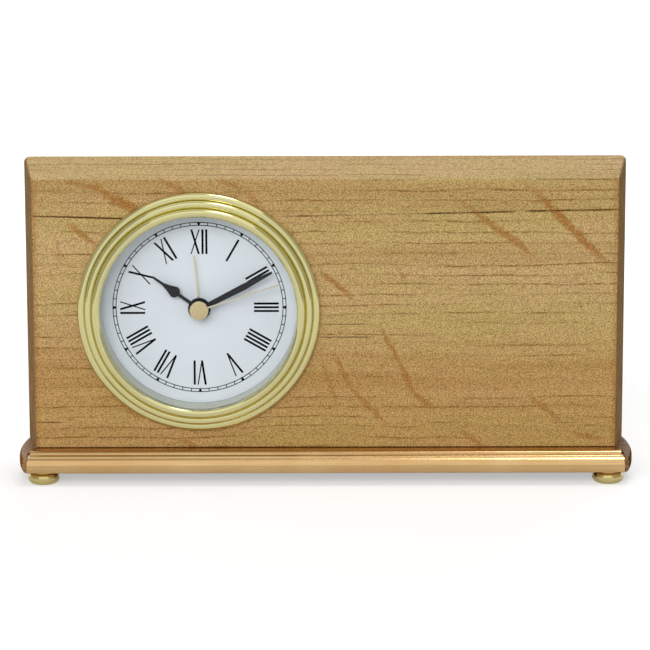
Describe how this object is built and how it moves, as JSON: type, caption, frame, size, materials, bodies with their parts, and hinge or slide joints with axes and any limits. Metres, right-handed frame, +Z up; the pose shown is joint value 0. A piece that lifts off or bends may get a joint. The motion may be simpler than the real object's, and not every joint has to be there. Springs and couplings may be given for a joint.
{
  "type": "desk clock",
  "caption": "Wide upright wooden desk clock with a round alarm dial set to the left, a metal nosing on its thin plinth and bun feet.",
  "frame": {"origin": "on the table under the middle of the plinth, at the bottom centre of the whole clock", "axes": "+Z up, the dial faces -Y, +X to the right seen from the front"},
  "size_m": [0.2302, 0.0374, 0.1189],
  "materials": {
    "wood_block": "satin lacquer over straight open grain",
    "wood_base": "satin lacquer over straight open grain",
    "nosing_gold": "polished rose gold plate",
    "bezel_gold": "polished pale gold plate",
    "foot_brass": "polished brass",
    "lens_glass": "clear polished",
    "ring_silver": "satin silver",
    "dial_white": "fine matt white with printed numerals",
    "hand_black": "satin black",
    "hand_gold": "bright gold",
    "case_black": "moulded matt black",
    "cover_black": "fine spark-eroded black",
    "knob_black": "moulded black",
    "switch_grey": "moulded grey",
    "plate_white": "moulded natural acetal",
    "wheel_white": "moulded natural acetal",
    "wheel_brass": "stamped",
    "steel": "zinc plated",
    "magnet": "sintered",
    "copper_wire": "enamelled copper",
    "board_green": "solder mask",
    "chip_black": "epoxy drop",
    "battery_wrap": "printed sleeve, no marks",
    "band_rubber": "matt"
  },
  "bodies": {
    "clock": {"clock_block": "wood_block", "base_board": "wood_base", "base_molding": "nosing_gold", "block_screws": "steel", "foot_screws": "steel", "foot_front_left": "foot_brass", "foot_front_right": "foot_brass", "foot_rear_left": "foot_brass", "foot_rear_right": "foot_brass", "bezel": "bezel_gold", "lens": "lens_glass", "dial_ring": "ring_silver", "dial": "dial_white", "grip_band": "band_rubber", "insert_case": "case_black", "middle_plate": "plate_white", "rear_plate": "plate_white", "plate_screws": "steel", "stator": "steel", "coil_core": "steel", "coil_bobbin": "plate_white", "coil_winding": "copper_wire", "circuit_board": "board_green", "control_chip": "chip_black", "quartz_crystal": "steel", "buzzer": "case_black", "battery": "battery_wrap", "positive_contact": "steel", "negative_contact": "steel", "rear_cover": "cover_black", "cover_screws": "steel"},
    "second_works": {"second_wheel": "wheel_white", "second_hand": "hand_gold"},
    "rotor": {"rotor": "wheel_white", "rotor_magnet": "magnet"},
    "intermediate_wheel": {"intermediate_wheel": "wheel_white"},
    "third_wheel": {"third_wheel": "wheel_white"},
    "center_wheel": {"center_wheel": "wheel_white"},
    "minute_works": {"minute_cannon": "wheel_brass", "minute_hand": "hand_black"},
    "motion_wheel": {"motion_wheel": "wheel_white"},
    "hour_works": {"hour_wheel": "wheel_white", "hour_hand": "hand_black"},
    "alarm_works": {"alarm_wheel": "wheel_white", "alarm_hand": "hand_gold"},
    "time_set_knob": {"time_set_knob": "knob_black"},
    "alarm_set_knob": {"alarm_set_knob": "knob_black"},
    "alarm_switch": {"alarm_switch": "switch_grey"},
    "battery_door": {"battery_door": "cover_black"}
  },
  "joints": [
    {"name": "second_hand_spin", "type": "hinge", "parent": "clock", "child": "second_works", "pos_m": [-0.04694, 0, 0.06461], "axis": [0, 1, 0], "continuous": true},
    {"name": "intermediate_wheel_spin", "type": "hinge", "parent": "clock", "child": "intermediate_wheel", "pos_m": [-0.0537, 0, 0.06215], "axis": [0, 1, 0], "continuous": true},
    {"name": "rotor_spin", "type": "hinge", "parent": "clock", "child": "rotor", "pos_m": [-0.05944, 0, 0.05814], "axis": [0, 1, 0], "continuous": true},
    {"name": "third_wheel_spin", "type": "hinge", "parent": "clock", "child": "third_wheel", "pos_m": [-0.05473, 0, 0.06911], "axis": [0, 1, 0], "continuous": true},
    {"name": "center_wheel_spin", "type": "hinge", "parent": "clock", "child": "center_wheel", "pos_m": [-0.04694, 0, 0.06461], "axis": [0, 1, 0], "continuous": true},
    {"name": "minute_hand_spin", "type": "hinge", "parent": "clock", "child": "minute_works", "pos_m": [-0.04694, 0, 0.06461], "axis": [0, 1, 0], "continuous": true},
    {"name": "motion_wheel_spin", "type": "hinge", "parent": "clock", "child": "motion_wheel", "pos_m": [-0.03957, 0, 0.06886], "axis": [0, 1, 0], "continuous": true},
    {"name": "hour_hand_spin", "type": "hinge", "parent": "clock", "child": "hour_works", "pos_m": [-0.04694, 0, 0.06461], "axis": [0, 1, 0], "continuous": true},
    {"name": "time_set_knob_turn", "type": "hinge", "parent": "clock", "child": "time_set_knob", "pos_m": [-0.03532, 0, 0.07623], "axis": [0, 1, 0], "continuous": true},
    {"name": "alarm_hand_spin", "type": "hinge", "parent": "clock", "child": "alarm_works", "pos_m": [-0.04694, 0, 0.06461], "axis": [0, 1, 0], "continuous": true},
    {"name": "alarm_set_knob_turn", "type": "hinge", "parent": "clock", "child": "alarm_set_knob", "pos_m": [-0.0402, 0, 0.05788], "axis": [0, 1, 0], "continuous": true},
    {"name": "alarm_switch_slide", "type": "slide", "parent": "clock", "child": "alarm_switch", "axis": [1, 0, 0], "range_m": [0, 0.004]},
    {"name": "battery_door_slide", "type": "slide", "parent": "clock", "child": "battery_door", "axis": [-1, 0, 0], "range_m": [0, 0.0045]}
  ],
  "couplings": [
    {"joint": "intermediate_wheel_spin", "follows": "second_hand_spin", "ratio": -5},
    {"joint": "rotor_spin", "follows": "second_hand_spin", "ratio": 30},
    {"joint": "third_wheel_spin", "follows": "second_hand_spin", "ratio": -0.13333},
    {"joint": "center_wheel_spin", "follows": "second_hand_spin", "ratio": 0.016667},
    {"joint": "motion_wheel_spin", "follows": "minute_hand_spin", "ratio": -0.33333},
    {"joint": "hour_hand_spin", "follows": "minute_hand_spin", "ratio": 0.083333},
    {"joint": "time_set_knob_turn", "follows": "minute_hand_spin", "ratio": 1},
    {"joint": "alarm_set_knob_turn", "follows": "alarm_hand_spin", "ratio": -3}
  ]
}
